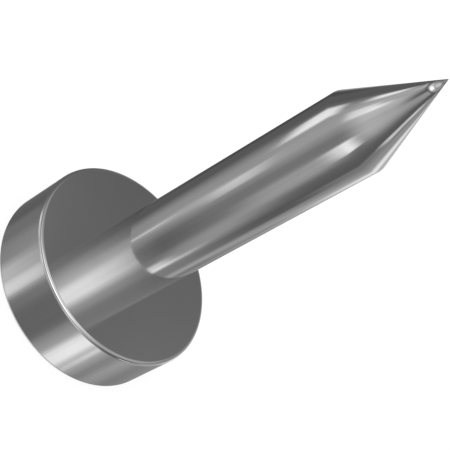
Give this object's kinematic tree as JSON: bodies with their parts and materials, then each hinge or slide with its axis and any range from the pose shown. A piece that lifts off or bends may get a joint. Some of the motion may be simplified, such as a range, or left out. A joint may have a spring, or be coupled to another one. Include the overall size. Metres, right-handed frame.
{
  "type": "rail spike",
  "caption": "Round rail spike: a thick flat disc head on a straight cylindrical shank with a conical point, driven into a sleeper to hold a rail or plate down.",
  "frame": {"origin": "centre of the head's flat striking face, on the spike's axis", "axes": "+Z along the axis, from the head to the point; X and Y lie in the striking face, and the spike is round about Z, so they have no preferred direction"},
  "size_m": [0.065, 0.065, 0.1428],
  "materials": {
    "head_steel": "turned and polished bare steel",
    "shank_steel": "turned and polished bare steel"
  },
  "bodies": {
    "root": {"head": "head_steel", "shank": "shank_steel"}
  },
  "joints": []
}
